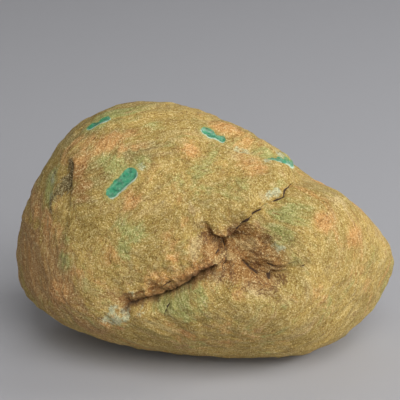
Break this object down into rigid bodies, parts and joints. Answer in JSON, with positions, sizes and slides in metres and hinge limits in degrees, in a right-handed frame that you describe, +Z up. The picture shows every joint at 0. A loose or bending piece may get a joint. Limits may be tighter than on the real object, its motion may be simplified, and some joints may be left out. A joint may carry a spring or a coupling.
{
  "type": "raw jade boulder",
  "caption": "Raw water-worn jade boulder, egg-shaped with a deep fold and pit across its front and small ground windows that show the green jade.",
  "frame": {"origin": "under the middle of the stone's box, at the level it rests on", "axes": "+X to the right along the stone's length with the blunt nose at +X, -Y the front with the fold and the pit, +Z up"},
  "size_m": [0.1414, 0.091, 0.0941],
  "materials": {
    "weathered_jade": "matte"
  },
  "bodies": {
    "root": {"boulder": "weathered_jade"}
  },
  "joints": []
}
